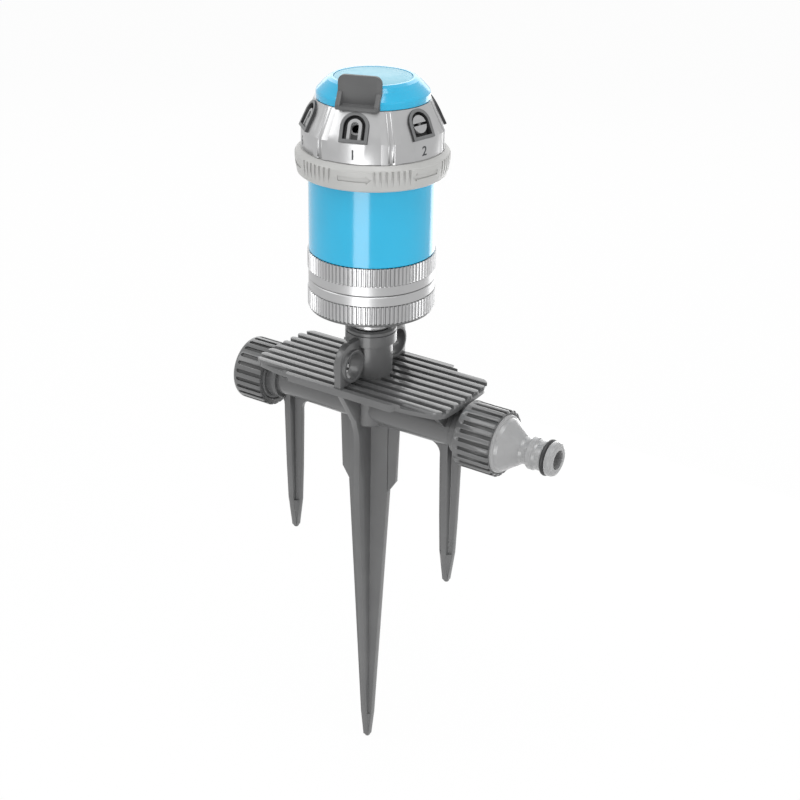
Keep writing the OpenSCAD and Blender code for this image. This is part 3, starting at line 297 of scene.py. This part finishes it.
def recipes(c):
    """Each finish's maker and values. Mouldings: name, colour, roughness, grain's scale and depth, spread of shade,
    coat. Metal coats: name, colour, roughness."""
    return {
        "base": (moulded, "satin_grey_moulding", c.base, 0.38, 2600.0, 0.00003, 0.07, 0.4),
        # The base grey darkened: a painted shadow in the cap's and the nut's grooves
        "groove": (moulded, "groove_shade", shade(c.base, 0.4), 0.42, 2600.0, 0.00005, 0.07),
        "trim": (moulded, "dark_trim_moulding", c.trim, 0.38, 2600.0, 0.00004, 0.06),
        "tab": (moulded, "tab_grey_moulding", shade(c.base, 0.85), 0.5, 2600.0, 0.00005, 0.05),
        "blue": (moulded, "gloss_blue_moulding", c.body, 0.16, 500.0, 0.00001, 0.02, 0.3),
        # Paler blue: partly the disc's own colour, partly a painted sheen of the light from above
        "disc": (moulded, "pale_blue_disc", c.disc, 0.42, 900.0, 0.00002, 0.03),
        "nozzle": (moulded, "nozzle_grey_moulding", c.nozzle, 0.34, 1800.0, 0.00002, 0.04),
        "frame": (moulded, "frame_grey_moulding", c.frame, 0.36, 2600.0, 0.00003, 0.05),
        # Near black: a painted shadow inside the nozzle ring's windows
        "painted_pit_shadow": (moulded, "frame_shade", (0.018, 0.018, 0.019), 0.5, 2600.0, 0.00003, 0.05),
        "ring": (moulded, "ring_grey_moulding", c.ring, 0.42, 2200.0, 0.00004, 0.03),
        "tip": (soft_plastic, "connector_grey_moulding", c.tip, 0.24, 1500.0, 0.00002, 0.03, 0.25, 0.5, 0.004),
        "inner": (moulded, "white_gear_moulding", c.inner, 0.45, 2000.0, 0.00003, 0.03),
        "rubber": (moulded, "black_seal_rubber", (0.012, 0.012, 0.013), 0.42, 1800.0, 0.00003, 0.1),
        "ink": (moulded, "number_print", c.ink, 0.4, 3000.0, 0.00001, 0.1),
        "silver": (coated, "silver_coat", c.silver, 0.35),
        "bright": (coated, "bright_stem_coat", shade(c.silver, 1.2), 0.28),
        "steel": (coated, "bright_steel", (0.55, 0.55, 0.56), 0.22),
        "brass": (coated, "bush_brass", (0.66, 0.45, 0.18), 0.28),
    }


finishes_made = {}


def finish(kind):
    """The finish of that kind, made the first time it is asked for."""
    if kind not in finishes_made:
        maker, *values = recipes(bpy.context.scene.sprinkler_finishes)[kind]
        finishes_made[kind] = maker(*values)
    return finishes_made[kind]


# Shapes


def dress(names, kind):
    """Gives CAD nodes a finish."""
    for name in names:
        target = NODES[name]
        target.data.materials.clear()
        target.data.materials.append(finish(kind))


def piece(name, bm, kind, body, smooth=32.0):
    """A new object from a bmesh, riding on a body."""
    mesh = bpy.data.meshes.new(name)
    bm.normal_update()
    bm.to_mesh(mesh)
    bm.free()
    made = bpy.data.objects.new(name, mesh)
    bpy.context.scene.collection.objects.link(made)
    mesh.materials.append(finish(kind))
    for face in mesh.polygons:
        face.use_smooth = True
    mesh.set_sharp_from_angle(angle=math.radians(smooth))
    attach(made, body)
    return made


def merged_copy(name):
    """A bmesh of a CAD node with its loose triangles merged into faces."""
    bm = bmesh.new()
    bm.from_mesh(NODES[name].data)
    bmesh.ops.remove_doubles(bm, verts=bm.verts, dist=WELD)
    bmesh.ops.dissolve_limit(bm, angle_limit=math.radians(FLAT_ANGLE), verts=bm.verts, edges=bm.edges,
                             use_dissolve_boundaries=False, delimit={"NORMAL"})
    return bm


def rounded(name, kind, body, radius, steps, sharp=35.0):
    """A CAD node with its hard edges rounded as a mould leaves them."""
    bm = merged_copy(name)
    limit = math.radians(sharp)
    hard = [e for e in bm.edges if len(e.link_faces) == 2 and e.calc_face_angle(0.0) > limit]
    bmesh.ops.bevel(bm, geom=hard, offset=radius, offset_type="OFFSET", segments=steps, affect="EDGES",
                    profile=0.5, clamp_overlap=True, material=-1)
    bmesh.ops.dissolve_degenerate(bm, dist=WELD, edges=bm.edges)
    bmesh.ops.triangulate(bm, faces=[f for f in bm.faces if len(f.verts) > 4])
    made = piece(name + "_moulded", bm, kind, body)
    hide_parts(name)
    return made


def repainted(made, kind, chosen):
    """Gives the faces that chosen() picks a second finish."""
    made.data.materials.append(finish(kind))
    for face in made.data.polygons:
        if chosen(face):
            face.material_index = 1


def grooves_of(made):
    """The test for the groove faces of a ring that lies along X, which get a painted shadow."""
    low = [min(v.co[i] for v in made.data.vertices) for i in range(3)]
    high = [max(v.co[i] for v in made.data.vertices) for i in range(3)]
    axis = Vector((0.0, (low[1] + high[1]) / 2.0, (low[2] + high[2]) / 2.0))
    outer = (high[1] - low[1]) / 2.0

    def chosen(face):
        depth = outer - (face.center - axis).yz.length
        return GROOVE_FROM < depth < GROOVE_TO and abs(face.normal.x) < GROOVE_SLANT

    return chosen


def nozzle_turn(k):
    """The direction of nozzle k, in degrees."""
    return NOZZLE_AZ + NOZZLE_STEP * (k - 1)


def wrapped(bm, turn, reach):
    """Bends a flat drawing round the head: x runs round, y up and z outwards from radius reach(height)."""
    for vert in bm.verts:
        along, height, out = vert.co
        radius = reach(height)
        around = math.radians(turn) + along / radius
        vert.co = ((radius + out) * math.cos(around), (radius + out) * math.sin(around), height)


def thickened(bm, way):
    """Gives a flat drawing a thickness."""
    bmesh.ops.recalc_face_normals(bm, faces=bm.faces)
    up = bmesh.ops.extrude_face_region(bm, geom=bm.faces[:])
    bmesh.ops.translate(bm, verts=[v for v in up["geom"] if isinstance(v, bmesh.types.BMVert)], vec=way)


def split(bm, place, way):
    """Cuts the faces along a plane, and keeps both sides."""
    bmesh.ops.bisect_plane(bm, geom=bm.verts[:] + bm.edges[:] + bm.faces[:], plane_co=place, plane_no=way)


def turned_out(bm):
    """Turns the faces of one closed form outwards."""
    bmesh.ops.recalc_face_normals(bm, faces=bm.faces)
    if bm.calc_volume(signed=True) < 0.0:
        bmesh.ops.reverse_faces(bm, faces=bm.faces)


def turret_reach(height):
    """The turret's radius at a height."""
    share = max(0.0, min(1.0, (height - BAND_TOP) / (CONE_TOP - BAND_TOP)))
    return BAND_R + (CONE_R - BAND_R) * share


def panel_sides(marks):
    """The raised sides of the six panels, two in each gap, from the band's foot to the cone's top."""
    bm = bmesh.new()
    foot, crest = marks.step_mid, marks.step_mid + marks.step_width
    fade = crest + marks.step_fade
    section = [(foot, -PANEL_ROOT), (foot, 0.0), (crest, marks.step_height), (crest + PANEL_LAND, marks.step_height),
               (fade, 0.0), (fade, -PANEL_ROOT)]
    for k in NOZZLES:
        for side in (-1, 1):
            strip = bmesh.new()
            rings = [[strip.verts.new((side * x, height, out)) for x, out in section]
                     for height in (BAND_LOW, BAND_TOP, CONE_TOP)]
            strip.faces.new(rings[0])
            strip.faces.new(rings[-1])
            for lower, upper in zip(rings, rings[1:]):
                for i in range(len(section)):
                    strip.faces.new((lower[i - 1], lower[i], upper[i], upper[i - 1]))
            wrapped(strip, nozzle_turn(k) + NOZZLE_STEP / 2.0, turret_reach)
            turned_out(strip)
            joined(bm, strip)
    return bm


def joined(bm, extra):
    """Moves one bmesh into another."""
    mesh = bpy.data.meshes.new("part")
    extra.to_mesh(mesh)
    extra.free()
    bm.from_mesh(mesh)
    bpy.data.meshes.remove(mesh)


def number(k, size, proud):
    """The printed number of nozzle k, round the turret's band."""
    text = bpy.data.curves.new("number", "FONT")
    text.body = str(k)
    text.size = size * TYPE_SIZE
    text.align_x = "CENTER"
    text.offset = size * TYPE_WEIGHT
    carrier = bpy.data.objects.new("number", text)
    bpy.context.scene.collection.objects.link(carrier)
    flat = carrier.to_mesh()
    bm = bmesh.new()
    bm.from_mesh(flat)
    carrier.to_mesh_clear()
    bpy.data.objects.remove(carrier)
    bpy.data.curves.remove(text)
    bmesh.ops.remove_doubles(bm, verts=bm.verts, dist=FINE_WELD)
    low = min(v.co.y for v in bm.verts)
    high = max(v.co.y for v in bm.verts)
    bmesh.ops.translate(bm, verts=bm.verts, vec=(0.0, BAND_MID - (low + high) / 2.0, 0.0))
    thickened(bm, (0.0, 0.0, proud))
    bmesh.ops.translate(bm, verts=bm.verts, vec=(0.0, 0.0, -proud * 0.5))
    wrapped(bm, nozzle_turn(k), lambda height: BAND_R)
    turned_out(bm)
    return piece("number_%d" % k, bm, "ink", "turret", smooth=20.0)


def arrow_tool(bm, turn, way, marks):
    """Adds the tool that sinks one arrow into the grip ring; way is 1 or -1."""
    half, shaft, head = marks.arrow_length / 2.0, marks.arrow_width / 2.0, marks.arrow_head / 2.0
    neck = half - head * ARROW_HEAD_SHARE
    tool = bmesh.new()
    outline = [(-half, -shaft), (neck, -shaft), (neck, -head), (half, 0.0),
               (neck, head), (neck, shaft), (-half, shaft)]
    corners = [tool.verts.new((way * (x + marks.arrow_ahead), marks.arrow_mid + y, 0.0)) for x, y in outline]
    tool.faces.new(corners)
    side = ARROW_PARTS // 2
    for i in range(1 - side, side):
        split(tool, (i * half / side, 0.0, 0.0), (1.0, 0.0, 0.0))
    split(tool, (0.0, RING_BEND, 0.0), (0.0, 1.0, 0.0))
    bmesh.ops.translate(tool, verts=tool.verts, vec=(0.0, 0.0, -marks.arrow_depth))
    thickened(tool, (0.0, 0.0, marks.arrow_depth + TOOL_OVER))
    wrapped(tool, turn, lambda height: RING_R - max(0.0, RING_BEND - height) * RING_LEAN)
    turned_out(tool)
    joined(bm, tool)


def sunk(bm, tools):
    """Takes the tools' shapes out of a mesh."""
    parts = []
    for name, source in (("work", bm), ("tool", tools)):
        mesh = bpy.data.meshes.new(name)
        source.to_mesh(mesh)
        source.free()
        made = bpy.data.objects.new(name, mesh)
        bpy.context.scene.collection.objects.link(made)
        parts.append(made)
    cut = parts[0].modifiers.new("sink", "BOOLEAN")
    cut.operation = "DIFFERENCE"
    cut.solver = "EXACT"
    cut.object = parts[1]
    shaped = parts[0].evaluated_get(bpy.context.evaluated_depsgraph_get()).to_mesh()
    out = bmesh.new()
    out.from_mesh(shaped)
    for made in parts:
        mesh = made.data
        bpy.data.objects.remove(made)
        bpy.data.meshes.remove(mesh)
    return out


# Operators


class SPRINKLER_OT_stage(bpy.types.Operator):
    """Floor, lamps and camera"""

    bl_idname = "sprinkler.stage"
    bl_label = "Stage"

    def execute(self, context):
        bm = bmesh.new()
        bmesh.ops.create_circle(bm, cap_ends=True, segments=64, radius=FLOOR_R,
                                matrix=Matrix.Translation((0.0, 0.0, CAD_BOX[0][2] - FLOOR_DROP)))
        mesh = bpy.data.meshes.new("studio_floor")
        bm.to_mesh(mesh)
        bm.free()
        floor = bpy.data.objects.new("studio_floor", mesh)
        context.scene.collection.objects.link(floor)
        mesh.materials.append(self.floor_paint())
        self.sky(context)
        for values in LAMPS:
            self.lamp(context, *values)
        self.camera(context)
        context.scene.view_settings.view_transform = "Standard"
        return {"FINISHED"}

    def floor_paint(self):
        """Plain white paint that keeps the shadow and reads as white where it is seen or mirrored."""
        made, tree, bsdf = shader("floor_paint")
        bsdf.inputs["Base Color"].default_value = (FLOOR_PAINT, FLOOR_PAINT, FLOOR_PAINT, 1.0)
        bsdf.inputs["Roughness"].default_value = 0.9
        bsdf.inputs["Specular IOR Level"].default_value = 0.1
        glow = node(tree, "ShaderNodeEmission", Strength=1.0)
        share = tree.nodes.new("ShaderNodeMath")
        share.operation = "MULTIPLY"
        share.inputs[1].default_value = FLOOR_WHITE
        mix = tree.nodes.new("ShaderNodeMixShader")
        tree.links.new(self.seen(tree, "Is Camera Ray", "Is Glossy Ray", "Is Transmission Ray"), share.inputs[0])
        tree.links.new(share.outputs[0], mix.inputs["Fac"])
        tree.links.new(bsdf.outputs[0], mix.inputs[1])
        tree.links.new(glow.outputs[0], mix.inputs[2])
        tree.links.new(mix.outputs[0], tree.nodes["Material Output"].inputs["Surface"])
        return made

    def seen(self, tree, *rays):
        """1 where one of these kinds of ray arrives, and else 0."""
        path = tree.nodes.new("ShaderNodeLightPath")
        found = path.outputs[rays[0]]
        for ray in rays[1:]:
            either = tree.nodes.new("ShaderNodeMath")
            either.operation = "MAXIMUM"
            tree.links.new(found, either.inputs[0])
            tree.links.new(path.outputs[ray], either.inputs[1])
            found = either.outputs[0]
        return found

    def sky(self, context):
        """A pale room, white where the camera or a mirror sees it."""
        world = bpy.data.worlds.new("pale_room")
        world.use_nodes = True
        context.scene.world = world
        tree = world.node_tree
        level = node(tree, "ShaderNodeMapRange", From_Min=0.0, From_Max=1.0, To_Min=ROOM_DIM, To_Max=ROOM_SEEN)
        tree.links.new(self.seen(tree, "Is Camera Ray", "Is Glossy Ray"), level.inputs["Value"])
        tree.nodes["Background"].inputs["Color"].default_value = (1.0, 1.0, 1.0, 1.0)
        tree.links.new(level.outputs["Result"], tree.nodes["Background"].inputs["Strength"])

    def lamp(self, context, name, place, aim, width, length, power, mirrored):
        """A soft box that points at the object's axis; mirrored says whether gloss shows it."""
        data = bpy.data.lights.new(name, "AREA")
        data.shape = "RECTANGLE"
        data.size = width
        data.size_y = length
        data.energy = power
        made = bpy.data.objects.new(name, data)
        made.location = place
        made.rotation_euler = (Vector((0.0, 0.0, aim)) - Vector(place)).to_track_quat("-Z", "Y").to_euler()
        made.visible_camera = False
        made.visible_glossy = mirrored
        context.scene.collection.objects.link(made)

    def camera(self, context):
        """The photograph's view."""
        turn, tip, roll = (math.radians(angle) for angle in (CAMERA_TURN, CAMERA_TIP, CAMERA_ROLL))
        ahead = Vector((-math.sin(turn) * math.cos(tip), math.cos(turn) * math.cos(tip), -math.sin(tip)))
        right = Vector((math.cos(turn), math.sin(turn), 0.0))
        up = right.cross(ahead)
        tipped = right * math.cos(roll) + up * math.sin(roll)
        up = tipped.cross(ahead)
        axes = Matrix((tipped, up, -ahead)).transposed()
        data = bpy.data.cameras.new("camera")
        data.lens = CAMERA_LENS
        data.sensor_width = CAMERA_SENSOR
        data.clip_start = 0.01
        made = bpy.data.objects.new("camera", data)
        made.matrix_world = Matrix.Translation(CAMERA_PLACE) @ axes.to_4x4()
        context.scene.collection.objects.link(made)
        context.scene.camera = made


class SPRINKLER_OT_base(bpy.types.Operator):
    """Pipe, foot plate, ears and spikes"""

    bl_idname = "sprinkler.base"
    bl_label = "Base moulding"

    def execute(self, context):
        m = context.scene.sprinkler_marks
        for name in ("foot_plate", "front_ear", "back_ear", "centre_spike", "left_spike", "right_spike"):
            rounded(name, "base", "base", m.edge * BROAD_EDGE, m.edge_steps)
        dress(["base_pipe"], "base")
        return {"FINISHED"}


class SPRINKLER_OT_pipe_ends(bpy.types.Operator):
    """End cap, union nut, washers and hose connector; the cap's and the nut's grooves get a painted shadow"""

    bl_idname = "sprinkler.pipe_ends"
    bl_label = "Cap, nut and connector"

    def execute(self, context):
        m = context.scene.sprinkler_marks
        for name in ("end_cap", "union_nut"):
            made = rounded(name, "base", name, m.edge * FINE_EDGE, m.edge_steps)
            # The grooves get the painted shadow
            repainted(made, "groove", grooves_of(made))
        dress(["hose_connector"], "tip")
        dress(["connector_oring", "cap_washer", "union_washer", "riser_washer"], "rubber")
        return {"FINISHED"}


class SPRINKLER_OT_stop_rings(bpy.types.Operator):
    """Stem, bottom cover and the two stop rings"""

    bl_idname = "sprinkler.stop_rings"
    bl_label = "Stem and stop rings"

    def execute(self, context):
        dress(["inlet_stem"], "bright")
        dress(["bottom_cover"], "base")
        dress(["lower_stop_ring", "upper_stop_ring"], "silver")
        return {"FINISHED"}


class SPRINKLER_OT_body(bpy.types.Operator):
    """Blue body, cap and disc"""

    bl_idname = "sprinkler.body"
    bl_label = "Blue body and cap"

    def execute(self, context):
        m = context.scene.sprinkler_marks
        dress(["body_shell", "cap"], "blue")
        # The disc's paler blue is partly a painted sheen
        rounded("cap_disc", "disc", "head", m.edge, m.edge_steps)
        return {"FINISHED"}


class SPRINKLER_OT_turret(bpy.types.Operator):
    """Silver turret, nozzle ring, nozzles and numbers"""

    bl_idname = "sprinkler.turret"
    bl_label = "Turret and nozzles"

    def execute(self, context):
        m = context.scene.sprinkler_marks
        rounded("turret_shell", "silver", "turret", m.edge * FINE_EDGE, m.edge_steps, sharp=50.0)
        piece("panel_sides", panel_sides(m), "silver", "turret", smooth=20.0)
        self.frames(m)
        dress(["nozzle_%d" % k for k in NOZZLES], "nozzle")
        for k in NOZZLES:
            number(k, m.number_height, m.number_proud)
        return {"FINISHED"}

    def frames(self, marks):
        """The nozzle ring: its frames are grey outside, and a near-black painted shadow stands for the shade deep
        inside them.
        """
        made = rounded("nozzle_carrier", "painted_pit_shadow", "turret", marks.edge, marks.edge_steps)
        lean = math.atan2(BAND_R - CONE_R, CONE_TOP - BAND_TOP)

        def outer_rim(face):
            centre = face.center
            outward = Vector((centre.x, centre.y, centre.xy.length * math.tan(lean))).normalized()
            stands = centre.xy.length > turret_reach(centre.z) + RIM_FROM
            return stands and face.normal.dot(outward) > RIM_FACING

        # Only the outer rims get the frame grey; all else keeps the near-black painted shadow
        repainted(made, "frame", outer_rim)


class SPRINKLER_OT_grip_ring(bpy.types.Operator):
    """Grip ring with its arrows"""

    bl_idname = "sprinkler.grip_ring"
    bl_label = "Grip ring"

    def execute(self, context):
        m = context.scene.sprinkler_marks
        tools = bmesh.new()
        for k in NOZZLES:
            arrow_tool(tools, nozzle_turn(k), 1 if k % 2 else -1, m)
        bm = sunk(merged_copy("grip_ring"), tools)
        bmesh.ops.remove_doubles(bm, verts=bm.verts, dist=FINE_WELD)
        made = piece("grip_ring_moulded", bm, "ring", "turret", smooth=8.0)
        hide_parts("grip_ring")
        return {"FINISHED"}


class SPRINKLER_OT_tab(bpy.types.Operator):
    """Selector tab"""

    bl_idname = "sprinkler.tab"
    bl_label = "Selector tab"

    def execute(self, context):
        m = context.scene.sprinkler_marks
        rounded("selector_tab", "tab", "head", m.edge, m.edge_steps)
        return {"FINISHED"}


class SPRINKLER_OT_works(bpy.types.Operator):
    """Everything inside the head"""

    bl_idname = "sprinkler.works"
    bl_label = "Inner works"

    def execute(self, context):
        dress(["inlet_strainer", "trip_lever", "swirl_plate", "turbine_wheel", "turbine_pinion", "first_gear",
               "second_gear", "third_gear", "output_shaft"], "inner")
        dress(["gear_case", "gear_case_lid", "rotor_core"], "trim")
        dress(["gear_pins", "ring_clip", "outlet_spring", "detent_ball", "detent_spring", "cap_screw"], "steel")
        dress(["shaft_bush"], "brass")
        dress(["body_seal", "outlet_seal"], "rubber")
        return {"FINISHED"}


class SPRINKLER_PT_panel(bpy.types.Panel):
    """Lists the sprinkler's pieces"""

    bl_idname = "SPRINKLER_PT_panel"
    bl_label = "Sector sprinkler"
    bl_space_type = "VIEW_3D"
    bl_region_type = "UI"
    bl_category = "Sprinkler"

    def draw(self, context):
        for name in SprinklerFinishes.__annotations__:
            self.layout.prop(context.scene.sprinkler_finishes, name)
        for name in SprinklerMarks.__annotations__:
            self.layout.prop(context.scene.sprinkler_marks, name)
        for step in STEPS:
            self.layout.operator(step.bl_idname)


STEPS = (SPRINKLER_OT_stage, SPRINKLER_OT_base, SPRINKLER_OT_pipe_ends, SPRINKLER_OT_stop_rings,
         SPRINKLER_OT_body, SPRINKLER_OT_turret, SPRINKLER_OT_grip_ring, SPRINKLER_OT_tab, SPRINKLER_OT_works)
CLASSES = (SprinklerFinishes, SprinklerMarks) + STEPS + (SPRINKLER_PT_panel,)


def register():
    for cls in CLASSES:
        bpy.utils.register_class(cls)
    bpy.types.Scene.sprinkler_finishes = PointerProperty(type=SprinklerFinishes)
    bpy.types.Scene.sprinkler_marks = PointerProperty(type=SprinklerMarks)


def unregister():
    del bpy.types.Scene.sprinkler_marks
    del bpy.types.Scene.sprinkler_finishes
    for cls in reversed(CLASSES):
        bpy.utils.unregister_class(cls)


def main():
    register()
    bpy.ops.sprinkler.stage()
    bpy.ops.sprinkler.base()
    bpy.ops.sprinkler.pipe_ends()
    bpy.ops.sprinkler.stop_rings()
    bpy.ops.sprinkler.body()
    bpy.ops.sprinkler.turret()
    bpy.ops.sprinkler.grip_ring()
    bpy.ops.sprinkler.tab()
    bpy.ops.sprinkler.works()


if __name__ == "__main__":
    main()
